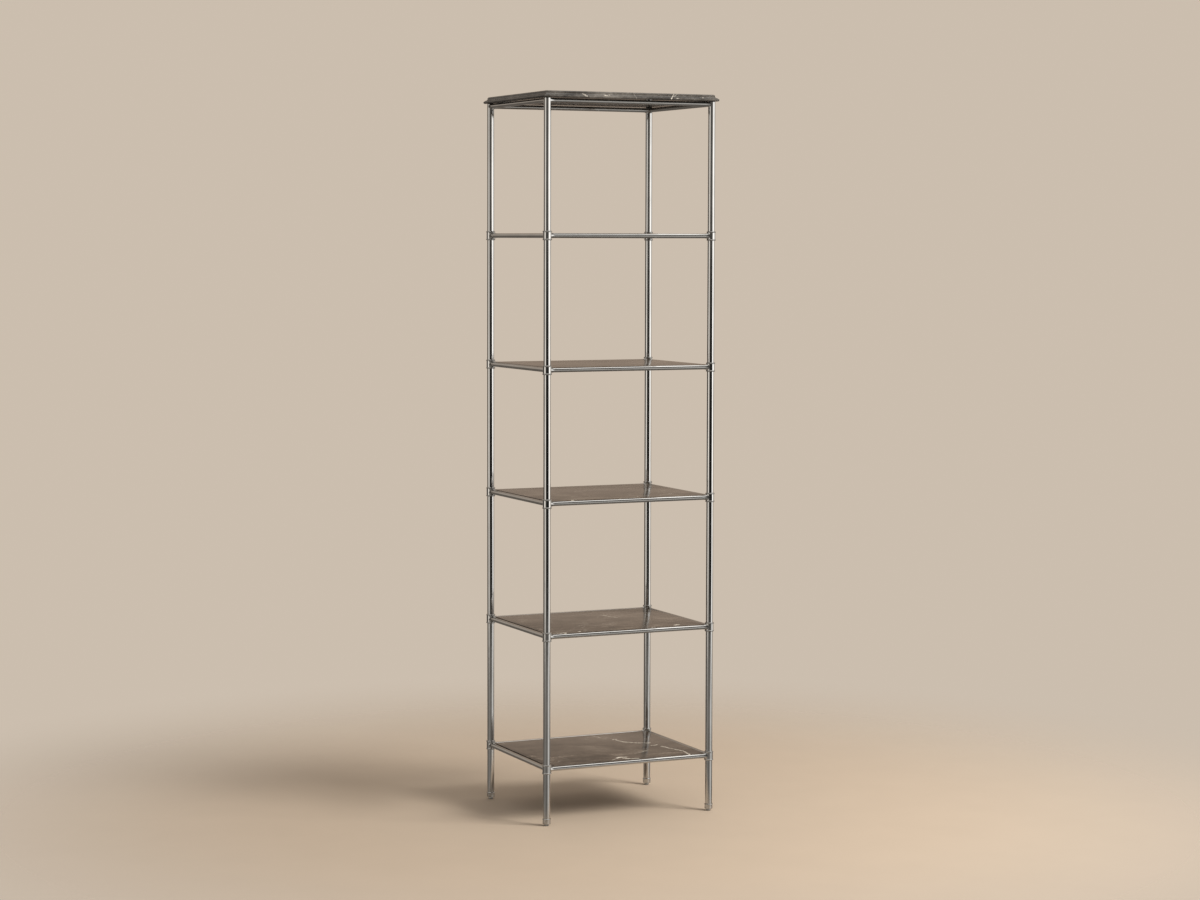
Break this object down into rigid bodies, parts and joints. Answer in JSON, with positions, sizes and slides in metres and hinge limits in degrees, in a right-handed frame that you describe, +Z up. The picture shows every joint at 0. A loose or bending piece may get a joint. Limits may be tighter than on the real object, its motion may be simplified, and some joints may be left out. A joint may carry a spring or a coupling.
{
  "type": "etagere",
  "caption": "Tall free-standing etagere: slender round metal posts and rails carry inset stone shelves and a thicker stone top slab with an ogee edge; the feet screw out to level it.",
  "frame": {"origin": "on the floor, midway between the four posts", "axes": "+Z up, +X along the width to the viewer's right, -Y towards the front"},
  "size_m": [0.536, 0.438, 2.032],
  "materials": {
    "polished_nickel": "mirror polished",
    "marble": "polished",
    "rubber_pad": "matte",
    "glide_steel": "satin"
  },
  "bodies": {
    "frame": {"post_front_left": "polished_nickel", "post_front_right": "polished_nickel", "post_rear_left": "polished_nickel", "post_rear_right": "polished_nickel", "rail_front_1": "polished_nickel", "rail_rear_1": "polished_nickel", "rail_left_1": "polished_nickel", "rail_right_1": "polished_nickel", "rail_front_2": "polished_nickel", "rail_rear_2": "polished_nickel", "rail_left_2": "polished_nickel", "rail_right_2": "polished_nickel", "rail_front_3": "polished_nickel", "rail_rear_3": "polished_nickel", "rail_left_3": "polished_nickel", "rail_right_3": "polished_nickel", "rail_front_4": "polished_nickel", "rail_rear_4": "polished_nickel", "rail_left_4": "polished_nickel", "rail_right_4": "polished_nickel", "rail_front_5": "polished_nickel", "rail_rear_5": "polished_nickel", "rail_left_5": "polished_nickel", "rail_right_5": "polished_nickel", "rail_front_top": "polished_nickel", "rail_rear_top": "polished_nickel", "rail_left_top": "polished_nickel", "rail_right_top": "polished_nickel", "corner_fittings_1": "polished_nickel", "corner_fittings_2": "polished_nickel", "corner_fittings_3": "polished_nickel", "corner_fittings_4": "polished_nickel", "corner_fittings_5": "polished_nickel", "shelf_lugs_1": "polished_nickel", "shelf_lugs_2": "polished_nickel", "shelf_lugs_3": "polished_nickel", "shelf_lugs_4": "polished_nickel", "shelf_lugs_5": "polished_nickel", "shelf_cushions": "rubber_pad", "top_cushions": "rubber_pad", "shelf_slab_1": "marble", "shelf_slab_2": "marble", "shelf_slab_3": "marble", "shelf_slab_4": "marble", "shelf_slab_5": "marble", "top_slab": "marble", "foot_ferrules": "polished_nickel"},
    "glide_front_left": {"levelling_glide_front_left": "glide_steel"},
    "glide_front_right": {"levelling_glide_front_right": "glide_steel"},
    "glide_rear_left": {"levelling_glide_rear_left": "glide_steel"},
    "glide_rear_right": {"levelling_glide_rear_right": "glide_steel"}
  },
  "joints": [
    {"name": "glide_front_left_screw", "type": "slide", "parent": "frame", "child": "glide_front_left", "axis": [0, 0, -1], "range_m": [0, 0.01]},
    {"name": "glide_front_right_screw", "type": "slide", "parent": "frame", "child": "glide_front_right", "axis": [0, 0, -1], "range_m": [0, 0.01]},
    {"name": "glide_rear_left_screw", "type": "slide", "parent": "frame", "child": "glide_rear_left", "axis": [0, 0, -1], "range_m": [0, 0.01]},
    {"name": "glide_rear_right_screw", "type": "slide", "parent": "frame", "child": "glide_rear_right", "axis": [0, 0, -1], "range_m": [0, 0.01]}
  ]
}
